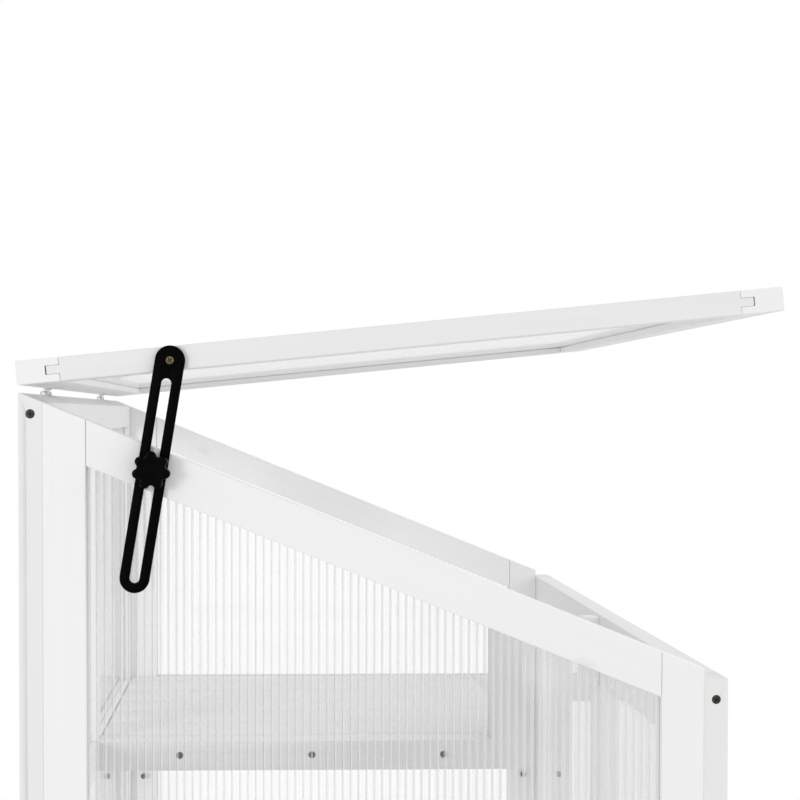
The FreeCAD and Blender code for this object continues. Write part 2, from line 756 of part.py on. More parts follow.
def screw_places():
    """Place, direction and length of every wood screw: x, y, z, head side, length."""
    places = []
    for sign in (-1, 1):
        face = f"{sign} * ({HALF_WIDTH} - screw_recess)"
        for y, heights in ((WALL_MID_Y, REAR_SCREW_HEIGHTS), (f"-{WALL_MID_Y}", FRONT_SCREW_HEIGHTS)):
            for height in heights:
                places.append((face, y, height, sign * 90, "screw_length"))
        for y_sign in (-1, 1):
            stile_mid = f"{y_sign} * ({STILE_EDGE_Y} + timber_width / 2)"
            inside = f"{sign} * ({INNER_X} - peg_screw_proud)"
            places.append((inside, stile_mid, "peg_screw_height", -sign * 90, "peg_screw_proud + 12"))
    face, length = "screw_recess - timber_width / 2", "timber_width + 14"
    for i in range(3):
        y = f"batten_first - {i} * batten_pitch"
        places.append((face, y, "bearer_screw_height", -90, length))
    return places


# --- hinges --------------------------------------------------------------------------

def hinge_leaf(name, moving):
    """Leaf of a butt hinge about the X axis, flat against a face behind the axis.

    The fixed leaf hangs down and has the two outer knuckles; the moving leaf stands
    up and has the middle one.
    """
    third = "(leaf_length / 3)"
    near_end = "(-leaf_length / 2)"
    if moving:
        spans = [(f"-{third} / 2 + knuckle_gap", f"{third} - 2 * knuckle_gap")]
    else:
        span = f"{third} - knuckle_gap"
        spans = [(near_end, span), (f"leaf_length / 2 - {third} + knuckle_gap", span)]
    clear = "(knuckle_radius + plate_clearance)"
    plate_base = clear if moving else f"-{clear} - leaf_reach"
    tab_base = "0" if moving else f"-{clear} - 1"
    pieces = [box(
        f"{name}_plate", near_end, "-hinge_offset", plate_base,
        "leaf_length", "leaf_thickness", "leaf_reach",
    )]
    for i, (start, span) in enumerate(spans):
        tab = box(
            f"{name}_tab_{i}", start, "-hinge_offset", tab_base,
            span, "leaf_thickness", f"{clear} + 1",
        )
        knuckle = primitive(
            "Part::Cylinder", f"{name}_knuckle_{i}", Radius="knuckle_radius", Height=span
        )
        place(knuckle, x=start, axis=(0, 1, 0), angle="90")
        pieces += [tab, knuckle]
    solid = doc.addObject("Part::MultiFuse", f"{name}_blank")
    solid.Shapes = pieces
    bore = primitive(
        "Part::Cylinder", f"{name}_bore", Radius="pin_radius + pin_clearance",
        Height="leaf_length * 2",
    )
    place(bore, x="-leaf_length", axis=(0, 1, 0), angle="90")
    leaf = doc.addObject("Part::Cut", name)
    leaf.Base, leaf.Tool = solid, bore
    return leaf


def build_hinges():
    pins = []
    fixed, moving = [], []
    for i, sign in enumerate((-1, 1)):
        x = f"{sign} * lid_hinge_spread"
        fixed.append(place(hinge_leaf(f"lid_fixed_leaf_{i}", False), x, HINGE_Y, "lid_axis_height"))
        leaf = hinge_leaf(f"lid_moving_leaf_{i}", True)
        place(leaf, x, HINGE_Y, "lid_axis_height", axis=(-1, 0, 0), angle="lid_rise")
        moving.append(leaf)
        pin = primitive("Part::Cylinder", f"lid_pin_{i}", Radius="pin_radius", Height="leaf_length")
        place(pin, f"{x} - leaf_length / 2", HINGE_Y, "lid_axis_height", axis=(0, 1, 0), angle="90")
        pins.append(pin)
    group("lid_hinge_frame_leaves", fixed)
    group("lid_hinge_lid_leaves", moving)

    post_leaves = []
    for side, sign in (("left", -1), ("right", 1)):
        door_leaves = []
        for i, height in enumerate(("door_hinge_low", "door_hinge_high")):
            x = f"{sign} * {DOOR_HINGE_X}"
            for is_door, leaves in ((True, door_leaves), (False, post_leaves)):
                leaf = hinge_leaf(f"{side}_leaf_{i}_{'door' if is_door else 'post'}", is_door)
                # Plates against the front, axis upright, the moving leaf towards the door.
                turn = FreeCAD.Rotation(FreeCAD.Vector(0, 0, 1), 180)
                upright = FreeCAD.Rotation(FreeCAD.Vector(0, 1, 0), -90 * sign)
                leaf.Placement.Rotation = upright.multiply(turn)
                bind(
                    leaf, Placement__Base__x=x, Placement__Base__y=f"-{HINGE_Y}",
                    Placement__Base__z=height,
                )
                leaves.append(leaf)
            pin = primitive(
                "Part::Cylinder", f"{side}_pin_{i}", Radius="pin_radius", Height="leaf_length"
            )
            pins.append(place(pin, x, f"-{HINGE_Y}", f"{height} - leaf_length / 2"))
        group(f"{side}_door_hinge_leaves", door_leaves)
    group("door_hinge_post_leaves", post_leaves)
    group("hinge_pins", pins)


# --- lid -----------------------------------------------------------------------------

def build_lid():
    """Lid frame, drawn flat; its rear and front rails run the full width."""
    rear = "(-hinge_offset)"
    front = f"({rear} - lid_length)"
    level = "lid_lift + timber_thickness / 2"
    left, right = f"-{HALF_WIDTH}", HALF_WIDTH
    rear_inner, front_inner = f"({rear} - timber_width)", f"({front} + timber_width)"

    def lid_member(label, outline, grooves, tongues=()):
        body = new_body(label)
        add_member(body, "XY_Plane", outline, grooves, tongues)
        return body

    rails = []
    groove = rectangle(left, rear_inner, right, f"{rear_inner} + groove_depth")
    rails.append(lid_member("lid_rear_rail", rectangle(left, rear_inner, right, rear), [groove]))
    groove = rectangle(left, f"{front_inner} - groove_depth", right, front_inner)
    rails.append(lid_member("lid_front_rail", rectangle(left, front, right, front_inner), [groove]))
    for side, sign in (("left", -1), ("right", 1)):
        low, high = sorted((f"{sign} * {POST_EDGE_X}", f"{sign} * {HALF_WIDTH}"), key=value)
        mouth, bottom = f"{sign} * {POST_EDGE_X}", f"{sign} * ({POST_EDGE_X} + groove_depth)"
        groove_low, groove_high = sorted((mouth, bottom), key=value)
        groove = rectangle(groove_low, front_inner, groove_high, rear_inner)
        tongue_low, tongue_high = sorted((bottom, f"{sign} * {HALF_WIDTH}"), key=value)
        tongues = [
            rectangle(tongue_low, f"{front_inner} - tongue_length", tongue_high, f"{front_inner} + 1"),
            rectangle(tongue_low, f"{rear_inner} - 1", tongue_high, f"{rear_inner} + tongue_length"),
        ]
        start, end = shoulders(front_inner, rear_inner)
        outline = rectangle(low, start, high, end)
        rails.append(lid_member(f"lid_{side}_rail", outline, [groove], tongues))
    pane = new_body("lid_sheet")
    outline = rectangle(
        f"-({POST_EDGE_X} + sheet_inset)", f"{front_inner} - sheet_inset",
        f"{POST_EDGE_X} + sheet_inset", f"{rear_inner} + sheet_inset",
    )
    extrude(pane, "PartDesign::Pad", polygon(new_sketch(pane, "XY_Plane"), outline), "sheet_thickness")
    for body in rails + [pane]:
        lift_onto_lid(body, level)


def lift_onto_lid(body, level):
    """Raise a flat-drawn lid piece by the level, square to the lid, and turn it."""
    body.Placement = FreeCAD.Placement(FreeCAD.Vector(), FreeCAD.Rotation(FreeCAD.Vector(-1, 0, 0), 1))
    body.setExpression("Placement.Rotation.Angle", bound("lid_rise * 1 deg"))
    bind(
        body,
        Placement__Base__y=f"{HINGE_Y} + ({level}) * sin(lid_rise)",
        Placement__Base__z=f"lid_axis_height + ({level}) * cos(lid_rise)",
    )


# --- stay ----------------------------------------------------------------------------

def build_stay():
    """Slotted stay: it swings on the lid and slides on a stud in the side wall."""
    pivot_y = f"{HINGE_Y} - link_radius * cos({PIVOT_ANGLE})"
    pivot_z = f"lid_axis_height + link_radius * sin({PIVOT_ANGLE})"
    stud_y = f"{HINGE_Y} - link_radius * cos(stud_angle)"
    stud_z = "lid_axis_height - link_radius * sin(stud_angle)"
    inner_face = f"(-{HALF_WIDTH} - stay_standoff)"
    outer_face = f"({inner_face} - stay_thickness)"

    bar = new_body("stay_bar")
    outline = link_outline(new_sketch(bar, "YZ_Plane"), "0", "-stay_reach", "stay_width / 2")
    extrude(bar, "PartDesign::Pad", outline, "stay_thickness")
    slot = link_outline(new_sketch(bar, "YZ_Plane"), "-slot_start", "-stay_reach", "slot_width / 2")
    extrude(bar, "PartDesign::Pocket", slot, "stay_thickness * 4")
    hole = circle(new_sketch(bar, "YZ_Plane"), "0", "0", "pivot_hole_radius")
    extrude(bar, "PartDesign::Pocket", hole, "stay_thickness * 4")
    place(bar, f"{inner_face} - stay_thickness / 2", pivot_y, pivot_z, axis=(1, 0, 0), angle=STAY_LEAN)

    # Pivot screw: its shank goes through the bar into the lid's side rail.
    length = "(pivot_screw_bite + stay_standoff + stay_thickness + pivot_screw_play)"
    shank = primitive("Part::Cylinder", "pivot_shank", Radius="pivot_screw_radius", Height=length)
    collar = primitive(
        "Part::Cylinder", "pivot_collar", Radius="pivot_collar_radius",
        Height="stay_standoff - pivot_collar_play",
    )
    bind(collar, Placement__Base__z="pivot_screw_bite")
    head = primitive(
        "Part::Cylinder", "pivot_head", Radius="pivot_head_radius", Height="pivot_head_height"
    )
    bind(head, Placement__Base__z=length)
    screw = doc.addObject("Part::MultiFuse", "stay_pivot_screw")
    screw.Shapes = [shank, collar, head]
    screw.Placement.Rotation = FreeCAD.Rotation(FreeCAD.Vector(0, 1, 0), -90)
    bind(
        screw, Placement__Base__x=f"pivot_screw_bite - {HALF_WIDTH}", Placement__Base__y=pivot_y,
        Placement__Base__z=pivot_z,
    )
    group("stay_pivot_screw", [screw])

    stud = primitive("Part::Cylinder", "clamp_stud", Radius="stud_radius", Height="stud_length")
    stud.Placement.Rotation = FreeCAD.Rotation(FreeCAD.Vector(0, 1, 0), -90)
    bind(
        stud, Placement__Base__x=f"stud_bite - {HALF_WIDTH}", Placement__Base__y=stud_y,
        Placement__Base__z=stud_z,
    )
    group("clamp_stud", [stud])
    build_star_knob(outer_face, stud_y, stud_z)


def build_star_knob(bar_face, stud_y, stud_z):
    """Star knob: a round body with lobes, on a hub that bears on the stay."""
    knob = new_body("star_knob")
    hub = circle(new_sketch(knob, "YZ_Plane"), "0", "0", "knob_hub_radius")
    extrude(knob, "PartDesign::Pad", hub, "knob_hub_height + knob_thickness", "One side")
    body_sketch = circle(new_sketch(knob, "YZ_Plane"), "0", "0", "knob_body_radius")
    extrude(knob, "PartDesign::Pad", body_sketch, "knob_thickness", "One side")
    lobe = circle(
        new_sketch(knob, "YZ_Plane"), "0", "knob_outer_radius - knob_lobe_radius", "knob_lobe_radius"
    )
    lobe_pad = extrude(knob, "PartDesign::Pad", lobe, "knob_thickness", "One side")
    doc.recompute()
    pattern = knob.newObject("PartDesign::PolarPattern", "star_knob_lobes")
    pattern.Originals = [lobe_pad]
    axis = [f for f in knob.Origin.OriginFeatures if f.Role == "X_Axis"][0]
    pattern.Axis = (axis, [""])
    pattern.Angle = 360
    bind(pattern, Occurrences="knob_lobes")
    knob.Tip = pattern
    doc.recompute()
    hub_end = "(knob_hub_height + knob_thickness)"
    depth = f"{hub_end} - knob_cap_thickness"
    drill(knob, "YZ_Plane", hub_end, [("0", "0")], "knob_bore_radius", depth)
    place(knob, f"{bar_face} - knob_clearance - {hub_end}", stud_y, stud_z)


build_rear_wall()
build_side_wall("left", f"-{SIDE_MID_X}")
build_side_wall("right", SIDE_MID_X)
build_front()
build_door("left", -1)
build_door("right", 1)
build_turn_button()
build_shelves()
build_hinges()
build_lid()
build_stay()
group("wood_screws", [
    wood_screw(f"screw_{i}", *spot) for i, spot in enumerate(screw_places(), start=1)
])

doc.recompute()
for item in doc.Objects:
    if "Invalid" in item.State or "Error" in item.State:
        raise RuntimeError(f"{item.Label} failed to build: {item.State}")
for node in BUILT:
    if node.Shape.isNull() or not node.Shape.isValid() or not node.Shape.Solids:
        raise RuntimeError(f"{node.Label} has no valid solid")

os.makedirs("parts", exist_ok=True)
for node in BUILT:
    node.Shape.exportStep(f"parts/{node.Label}.step")
    print(node.Label, len(node.Shape.Solids), round(node.Shape.Volume))
print(len(BUILT), "nodes")
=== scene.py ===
"""Cold frame on legs: a white timber cabinet glazed with twin-wall sheet.

Metres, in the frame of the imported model: +X right, -Y front, +Z up.
"""
import json
import math

import bmesh
import bpy
from mathutils import Matrix, Vector

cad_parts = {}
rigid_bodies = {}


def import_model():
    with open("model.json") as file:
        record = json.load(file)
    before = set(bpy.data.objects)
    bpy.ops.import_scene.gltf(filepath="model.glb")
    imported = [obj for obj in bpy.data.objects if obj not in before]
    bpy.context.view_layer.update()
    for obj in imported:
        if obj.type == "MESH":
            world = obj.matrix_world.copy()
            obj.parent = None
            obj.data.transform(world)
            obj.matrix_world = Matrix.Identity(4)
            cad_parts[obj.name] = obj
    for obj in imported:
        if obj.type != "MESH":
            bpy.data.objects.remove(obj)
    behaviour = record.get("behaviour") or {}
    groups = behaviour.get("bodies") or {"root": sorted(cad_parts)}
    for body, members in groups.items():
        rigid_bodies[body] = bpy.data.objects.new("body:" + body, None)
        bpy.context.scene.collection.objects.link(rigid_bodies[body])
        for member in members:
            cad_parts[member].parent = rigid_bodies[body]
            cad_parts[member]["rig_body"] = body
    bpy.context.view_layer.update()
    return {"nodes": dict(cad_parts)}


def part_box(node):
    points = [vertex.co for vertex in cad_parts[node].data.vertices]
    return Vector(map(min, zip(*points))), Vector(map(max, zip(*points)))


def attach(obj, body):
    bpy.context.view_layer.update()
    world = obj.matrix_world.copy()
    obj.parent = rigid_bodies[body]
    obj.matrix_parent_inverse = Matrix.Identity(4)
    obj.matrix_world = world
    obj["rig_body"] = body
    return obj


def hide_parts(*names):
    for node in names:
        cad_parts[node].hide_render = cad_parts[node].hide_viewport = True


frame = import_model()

NODES = frame["nodes"]
MM = 0.001
WHOLE_TURN = 2 * math.pi
AXES = Vector((1, 0, 0)), Vector((0, 1, 0)), Vector((0, 0, 1))

ROOF_SLOPE = math.radians(22)
LID_SLOPE = math.radians(5.6)


# --- camera, light and floor ---------------------------------------------------------

CAMERA_PLACE = (-1.4232, 0.0757, 1.1652)
# Turned from straight along +X, in radians.
CAMERA_YAW = 0.0209
CAMERA_PITCH = -0.0233
# Lens and sensor in millimetres, shift as a share of the picture.
CAMERA_LENS = 68.97
CAMERA_SENSOR = 36
CAMERA_SHIFT = (0.1253, 0.0616)
CAMERA_CLIP = (0.05, 100)

WHITE = (1, 1, 1, 1)
SEEN_STRENGTH = 1.0
FILL_STRENGTH = 0.745
KEY_PLACE = (-3.2, 2.4, 1.4)
KEY_AIM = (0, 0, 0.9)
KEY_SIZE = 1.0
KEY_POWER = 32
FRONT_PLACE = (-0.7, -2.8, 2.3)
FRONT_AIM = (0, 0, 1.0)
FRONT_SIZE = 2.0
FRONT_POWER = 30
BOUNCES = 16
DIFFUSE_BOUNCES = 6
# A ray along the object passes many clear ribs.
CLEAR_BOUNCES = 64


def add_camera():
    """The photograph looks almost square on at the left side wall."""
    data = bpy.data.cameras.new("camera")
    data.lens = CAMERA_LENS
    data.sensor_width = CAMERA_SENSOR
    data.shift_x, data.shift_y = CAMERA_SHIFT
    data.clip_start, data.clip_end = CAMERA_CLIP
    camera = bpy.data.objects.new("camera", data)
    bpy.context.scene.collection.objects.link(camera)
    ahead = Vector((
        math.cos(CAMERA_YAW) * math.cos(CAMERA_PITCH),
        -math.sin(CAMERA_YAW) * math.cos(CAMERA_PITCH),
        math.sin(CAMERA_PITCH),
    ))
    camera.location = CAMERA_PLACE
    camera.rotation_euler = ahead.to_track_quat("-Z", "Y").to_euler()
    bpy.context.scene.camera = camera


def add_area_light(name, place, aim, size, power):
    """Square lamp at a place, turned towards its aim."""
    data = bpy.data.lights.new(name, "AREA")
    data.shape = "SQUARE"
    data.size = size
    data.energy = power
    light = bpy.data.objects.new(name, data)
    light.location = place
    light.rotation_euler = (Vector(aim) - Vector(place)).to_track_quat("-Z", "Y").to_euler()
    bpy.context.scene.collection.objects.link(light)


def add_lights():
    """Surroundings that are seen pure white, a key from the left rear, a broad front light."""
    world = bpy.data.worlds.new("studio")
    world.use_nodes = True
    tree = world.node_tree
    fill = tree.nodes["Background"]
    fill.inputs["Color"].default_value = WHITE
    fill.inputs["Strength"].default_value = FILL_STRENGTH
    seen = add_node(tree, "ShaderNodeBackground", {"Color": WHITE, "Strength": SEEN_STRENGTH})
    path = add_node(tree, "ShaderNodeLightPath").outputs
    direct = add_node(
        tree, "ShaderNodeMath", {0: path["Is Camera Ray"], 1: path["Is Glossy Ray"]},
        operation="MAXIMUM",
    ).outputs[0]
    mixed = add_node(
        tree, "ShaderNodeMixShader", {0: direct, 1: fill.outputs[0], 2: seen.outputs[0]}
    )
    tree.links.new(mixed.outputs[0], tree.nodes["World Output"].inputs["Surface"])
    scene = bpy.context.scene
    scene.world = world
    scene.view_settings.view_transform = "Standard"
    scene.cycles.transparent_max_bounces = CLEAR_BOUNCES
    scene.cycles.max_bounces = BOUNCES
    scene.cycles.diffuse_bounces = DIFFUSE_BOUNCES
    add_area_light("key", KEY_PLACE, KEY_AIM, KEY_SIZE, KEY_POWER)
    add_area_light("front_soft", FRONT_PLACE, FRONT_AIM, FRONT_SIZE, FRONT_POWER)


# --- node trees ----------------------------------------------------------------------

# Nearly all of a noise lies between these values.
NOISE_LOW, NOISE_HIGH = 0.3, 0.7


def add_node(tree, kind, inputs=None, **settings):
    """Add a shader node; an input given as a socket is linked, any other is set."""
    node = tree.nodes.new(kind)
    for name, value in settings.items():
        setattr(node, name, value)
    for name, value in (inputs or {}).items():
        if isinstance(value, bpy.types.NodeSocket):
            tree.links.new(value, node.inputs[name])
        else:
            node.inputs[name].default_value = value
    return node


def new_material(name, **inputs):
    """Material with a Principled shader, its constant inputs set on the shader itself."""
    made = bpy.data.materials.new(name)
    made.use_nodes = True
    shader = made.node_tree.nodes["Principled BSDF"]
    for key, value in inputs.items():
        shader.inputs[key.replace("_", " ")].default_value = value
    return made, made.node_tree, shader


def object_place(tree, scale, turn=(0, 0, 0)):
    """Coordinates on the object, turned and then scaled along each axis."""
    place = add_node(tree, "ShaderNodeTexCoord").outputs["Object"]
    turned = add_node(tree, "ShaderNodeMapping", {"Vector": place, "Rotation": turn})
    return add_node(
        tree, "ShaderNodeMapping", {"Vector": turned.outputs[0], "Scale": scale}
    ).outputs[0]


def noise(tree, place, detail, roughness=0.55, distortion=0.0):
    """Value of a noise at a place."""
    return add_node(tree, "ShaderNodeTexNoise", {
        "Vector": place, "Scale": 1.0, "Detail": detail,
        "Roughness": roughness, "Distortion": distortion,
    }).outputs["Fac"]


def ranged(tree, value, low, high, start, end):
    """Map a value between low and high onto start to end."""
    return add_node(tree, "ShaderNodeMapRange", {
        "Value": value, "From Min": low, "From Max": high, "To Min": start, "To Max": end,
    }).outputs[0]


def middle_range(tree, value, start, end):
    """Map the middle values of a noise onto start to end."""
    return ranged(tree, value, NOISE_LOW, NOISE_HIGH, start, end)


def blended(tree, share, one, other):
    """Colour between two constant or linked colours."""
    node = add_node(tree, "ShaderNodeMix", data_type="RGBA")
    for socket, value in ((node.inputs[0], share), (node.inputs[6], one), (node.inputs[7], other)):
        if isinstance(value, bpy.types.NodeSocket):
            tree.links.new(value, socket)
        else:
            socket.default_value = value
    return node.outputs[2]


def bump(tree, shader, height, strength, distance, below=None):
    """Relief on a shader, on top of another relief if one is given."""
    inputs = {"Height": height, "Strength": strength, "Distance": distance}
    if below:
        inputs["Normal"] = below
    normal = add_node(tree, "ShaderNodeBump", inputs).outputs[0]
    tree.links.new(normal, shader.inputs["Normal"])
    return normal


# --- materials -----------------------------------------------------------------------

# Turns that bring a piece's long direction to the texture's first axis.
ALONG_X = (0, 0, 0)
ALONG_Y = (0, 0, -math.pi / 2)
ALONG_Z = (0, math.pi / 2, 0)
ALONG_ROOF = (-ROOF_SLOPE, 0, -math.pi / 2)
ALONG_LID = (LID_SLOPE, 0, -math.pi / 2)

# Spots per metre along the piece and across it.
GRAIN_SCALE = (5, 150, 150)
FIBRE_SCALE = (30, 1100, 1100)
CLOUD_SCALE = (4, 9, 9)
KNOT_SCALE = (8, 15, 15)
SHEET_LINE_SCALE = (0.4, 240, 240)
RIB_STREAK_SCALE = (0.3, 60, 60)
PATCH_SCALE = (160, 160, 160)
SCRATCH_SCALE = (300, 2600, 2600)

KNOT_TINT = (0.86, 0.84, 0.8)
# Distances from a knot's middle between which it fades, and how strongly it shows.
KNOT_CORE, KNOT_RIM, KNOT_STRENGTH = 0.03, 0.1, 0.5
# Noise value where the grain starts to show, and shares of the dark paint.
GRAIN_FROM = 0.35
GRAIN_SHARE, CLOUD_SHARE = 0.45, 0.35
PAINT_ROUGHNESS = (0.42, 0.58)
GRAIN_RELIEF, GRAIN_DEPTH = 0.22, 0.25 * MM
FIBRE_RELIEF, FIBRE_DEPTH = 0.14, 0.08 * MM


def painted_timber(name, turn, light, dark, relief=1.0):
    """White paint over planed softwood: the grain and a few knots show faintly."""
    made, tree, shader = new_material(name, Specular_IOR_Level=0.35)
    grain_place = object_place(tree, GRAIN_SCALE, turn)
    grain = noise(tree, grain_place, detail=5.0, roughness=0.6, distortion=0.6)
    fibre = noise(tree, object_place(tree, FIBRE_SCALE, turn), detail=3.0)
    cloud = noise(tree, object_place(tree, CLOUD_SCALE, turn), detail=2.0)
    knot_place = object_place(tree, KNOT_SCALE, turn)
    knot_near = add_node(
        tree, "ShaderNodeTexVoronoi", {"Vector": knot_place, "Scale": 1.0}, feature="F1"
    ).outputs["Distance"]
    knot = ranged(tree, knot_near, KNOT_CORE, KNOT_RIM, KNOT_STRENGTH, 0.0)
    knot_paint = tuple(shade * tint for shade, tint in zip(dark, KNOT_TINT)) + (1,)
    paint = blended(tree, ranged(tree, grain, GRAIN_FROM, NOISE_HIGH, 0.0, GRAIN_SHARE), light, dark)
    paint = blended(tree, middle_range(tree, cloud, 0.0, CLOUD_SHARE), paint, dark)
    paint = blended(tree, knot, paint, knot_paint)
    tree.links.new(paint, shader.inputs["Base Color"])
    tree.links.new(middle_range(tree, fibre, *PAINT_ROUGHNESS), shader.inputs["Roughness"])
    coarse = bump(tree, shader, grain, GRAIN_RELIEF * relief, GRAIN_DEPTH)
    bump(tree, shader, fibre, FIBRE_RELIEF * relief, FIBRE_DEPTH, coarse)
    return made


SKIN_COLOUR = (0.93, 0.935, 0.94, 1)
SKIN_HAZE = 0.012
SKIN_ROUGHNESS = (0.02, 0.06)
MIRROR_COLOUR = (0.97, 0.97, 0.97, 1)
MIRROR_HEAD_ON = 0.02
# At this blend Layer Weight gives one minus the cosine of the slant, which Schlick's rule
# for a clear surface raises to the fifth power.
SLANT_BLEND = 0.5
SLANT_POWER = 5.0


def twin_wall_skin(name, turn, mirror_share):
    """Clear skin: a faint haze, and a mirror that grows as it is seen at a slant."""
    made, tree, haze = new_material(
        name, Base_Color=SKIN_COLOUR, Alpha=SKIN_HAZE, Specular_IOR_Level=0.0
    )
    lines = noise(tree, object_place(tree, SHEET_LINE_SCALE, turn), detail=2.0)
    rough = middle_range(tree, lines, *SKIN_ROUGHNESS)
    tree.links.new(rough, haze.inputs["Roughness"])
    mirror = add_node(
        tree, "ShaderNodeBsdfAnisotropic", {"Color": MIRROR_COLOUR, "Roughness": rough}
    )
    slant = add_node(tree, "ShaderNodeLayerWeight", {"Blend": SLANT_BLEND}).outputs["Facing"]
    grown = add_node(
        tree, "ShaderNodeMath", {0: slant, 1: SLANT_POWER}, operation="POWER"
    ).outputs[0]
    share = ranged(tree, grown, 0.0, 1.0, MIRROR_HEAD_ON, mirror_share)
    both = add_node(
        tree, "ShaderNodeMixShader", {0: share, 1: haze.outputs[0], 2: mirror.outputs[0]}
    )
    tree.links.new(both.outputs[0], tree.nodes["Material Output"].inputs["Surface"])
    return made


# The ribs' opacity varies by this share up and down.
RIB_UNEVEN = 0.08


def twin_wall_rib(name, turn, colour, alpha):
    """One flank of a rib, its colour painted refraction: light bends in it, so a grey flank is
    painted shade for the dark inside seen through the rib, and a white flank and the sides are
    painted light bent and scattered in it.
    """
    made, tree, shader = new_material(
        name, Base_Color=colour, Roughness=0.4, Specular_IOR_Level=0.1
    )
    streak = noise(tree, object_place(tree, RIB_STREAK_SCALE, turn), detail=1.0)
    opacity = middle_range(tree, streak, alpha * (1 - RIB_UNEVEN), alpha * (1 + RIB_UNEVEN))
    tree.links.new(opacity, shader.inputs["Alpha"])
    return made


BLACK_DEEP = (0.0006, 0.0006, 0.0006, 1)
BLACK_LIFTED = (0.0016, 0.0016, 0.0017, 1)
BLACK_DEPTH = 0.06 * MM
SCRATCH_RELIEF, SCRATCH_DEPTH = 0.1, 0.03 * MM
# How far the roughness falls below its named value and rises above it.
BLACK_ROUGHNESS_SPREAD = (-0.06, 0.08)
METAL_ROUGHNESS_SPREAD = (-0.08, 0.1)


def around(value, spread):
    """Ends of a range round a value."""
    return value + spread[0], value + spread[1]


def black_coat(name, roughness, grain_scale, relief, gloss):
    """Black powder coat or moulded plastic with a fine texture."""
    made, tree, shader = new_material(name, Specular_IOR_Level=gloss)
    fine = noise(tree, object_place(tree, (grain_scale,) * 3), detail=2.0)
    tree.links.new(blended(tree, fine, BLACK_DEEP, BLACK_LIFTED), shader.inputs["Base Color"])
    rough = middle_range(tree, fine, *around(roughness, BLACK_ROUGHNESS_SPREAD))
    tree.links.new(rough, shader.inputs["Roughness"])
    bump(tree, shader, fine, relief, BLACK_DEPTH)
    return made


def metal(name, light, dark, roughness):
    """Plated steel: patchy brightness and fine scratches across the surface."""
    made, tree, shader = new_material(name, Metallic=1.0)
    patch = noise(tree, object_place(tree, PATCH_SCALE), detail=4.0)
    scratch = noise(tree, object_place(tree, SCRATCH_SCALE), detail=2.0)
    colour = blended(tree, middle_range(tree, patch, 0.0, 1.0), light, dark)
    tree.links.new(colour, shader.inputs["Base Color"])
    rough = middle_range(tree, scratch, *around(roughness, METAL_ROUGHNESS_SPREAD))
    tree.links.new(rough, shader.inputs["Roughness"])
    bump(tree, shader, scratch, SCRATCH_RELIEF, SCRATCH_DEPTH)
    return made


FLOOR_RADIUS = 2.9
FLOOR_SIDES = 96
# The floor's colour changes between these distances from the middle.
FLOOR_FADE = (0.6, 2.8)
FLOOR_NEAR = (0.8, 0.8, 0.8, 1)
FLOOR_FAR = (0.97, 0.97, 0.97, 1)


def floor_material():
    """Plain pale floor that fades towards white away from the object."""
    made, tree, shader = new_material("studio_floor", Roughness=0.7, Specular_IOR_Level=0.1)
    place = add_node(tree, "ShaderNodeTexCoord").outputs["Object"]
    far = add_node(tree, "ShaderNodeVectorMath", {0: place}, operation="LENGTH").outputs["Value"]
    share = ranged(tree, far, *FLOOR_FADE, 0.0, 1.0)
    tree.links.new(blended(tree, share, FLOOR_NEAR, FLOOR_FAR), shader.inputs["Base Color"])
    return made


PAINT_LIGHT = (0.88, 0.88, 0.88, 1)
PAINT_DARK = (0.85, 0.85, 0.849, 1)
POST_LIGHT = (0.82, 0.82, 0.818, 1)
POST_DARK = (0.78, 0.78, 0.777, 1)
# Darker copy of the paint for the inner timber: painted shade inside the cabinet.
SHADED_INNER_LIGHT = (0.72, 0.72, 0.716, 1)
SHADED_INNER_DARK = (0.66, 0.66, 0.655, 1)
SLAT_LIGHT = (0.86, 0.86, 0.858, 1)
SLAT_DARK = (0.79, 0.79, 0.786, 1)
# Inner timber is given a darker paint as painted shade, for the shade inside the cabinet; it and the
# sawn slats show more of the grain's relief than planed timber does.
INNER_RELIEF = 1.6
SLAT_RELIEF = 1.8

TIMBER = {
    "x": painted_timber("paint_along_x", ALONG_X, PAINT_LIGHT, PAINT_DARK),
    "y": painted_timber("paint_along_y", ALONG_Y, PAINT_LIGHT, PAINT_DARK),
    "z": painted_timber("paint_upright", ALONG_Z, PAINT_LIGHT, PAINT_DARK),
    "roof": painted_timber("paint_along_roof", ALONG_ROOF, PAINT_LIGHT, PAINT_DARK),
    "lid": painted_timber("paint_along_lid", ALONG_LID, POST_LIGHT, POST_DARK),
}
POST_TIMBER = painted_timber("paint_on_posts", ALONG_Z, POST_LIGHT, POST_DARK)
# Painted shade: the shelf bearer, hanger and centre tie get this darker paint.
SHADED_INNER_PAINT = (SHADED_INNER_LIGHT, SHADED_INNER_DARK, INNER_RELIEF)
SHADED_INNER_TIMBER = {
    "y": painted_timber("inner_painted_shade_along_y", ALONG_Y, *SHADED_INNER_PAINT),
    "z": painted_timber("inner_painted_shade_upright", ALONG_Z, *SHADED_INNER_PAINT),
    "roof": painted_timber("inner_painted_shade_along_roof", ALONG_ROOF, *SHADED_INNER_PAINT),
}
SLAT = {
    "x": painted_timber("slats_along_x", ALONG_X, SLAT_LIGHT, SLAT_DARK, SLAT_RELIEF),
    "y": painted_timber("slats_along_y", ALONG_Y, SLAT_LIGHT, SLAT_DARK, SLAT_RELIEF),
}
# Painted refraction of the ribs: a dark grey flank as painted shade, white as painted light.
RIB_PAINTED_SHADE_GREY = (0.12, 0.12, 0.125, 1)
RIB_PAINTED_LIGHT_WHITE = (0.97, 0.97, 0.97, 1)
# Darker white for the sides of the rear and door sheets: painted shade, as they stand in shade.
RIB_SHADED_SIDE_WHITE = (0.84, 0.842, 0.85, 1)


RIB_PAINTED_SHADE_GREY_ALPHA = 0.12
RIB_PAINTED_LIGHT_WHITE_ALPHA = 0.2


